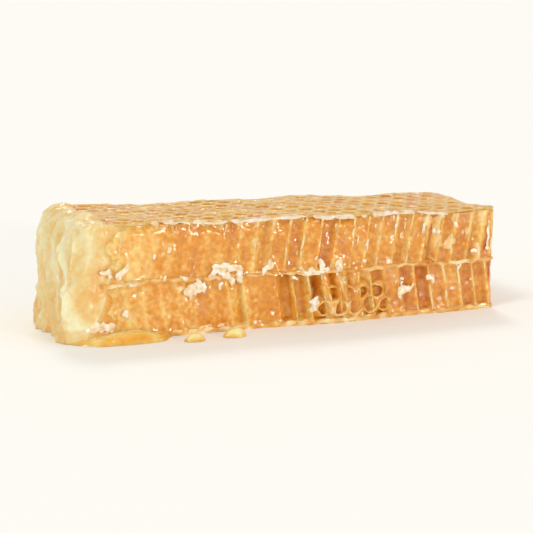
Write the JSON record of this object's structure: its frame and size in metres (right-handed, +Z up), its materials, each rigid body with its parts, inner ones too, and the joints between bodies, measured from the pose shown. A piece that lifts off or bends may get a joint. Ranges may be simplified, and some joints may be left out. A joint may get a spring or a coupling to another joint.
{
  "type": "honeycomb piece",
  "caption": "Cut strip of capped honeycomb lying on one comb face, with open cell troughs along its knife-cut sides and one smeared end.",
  "frame": {"origin": "centre of the bounding box in X and Y, on the surface that the strip lies on", "axes": "+X along the strip away from its smeared end, +Z up through the comb's thickness, -Y out of the long cut face that the picture shows"},
  "size_m": [0.1444, 0.048, 0.0355],
  "materials": {
    "honeycomb": "wet golden honey between pale beeswax walls, glossy and slightly translucent"
  },
  "bodies": {
    "root": {"honeycomb_strip": "honeycomb"}
  },
  "joints": []
}
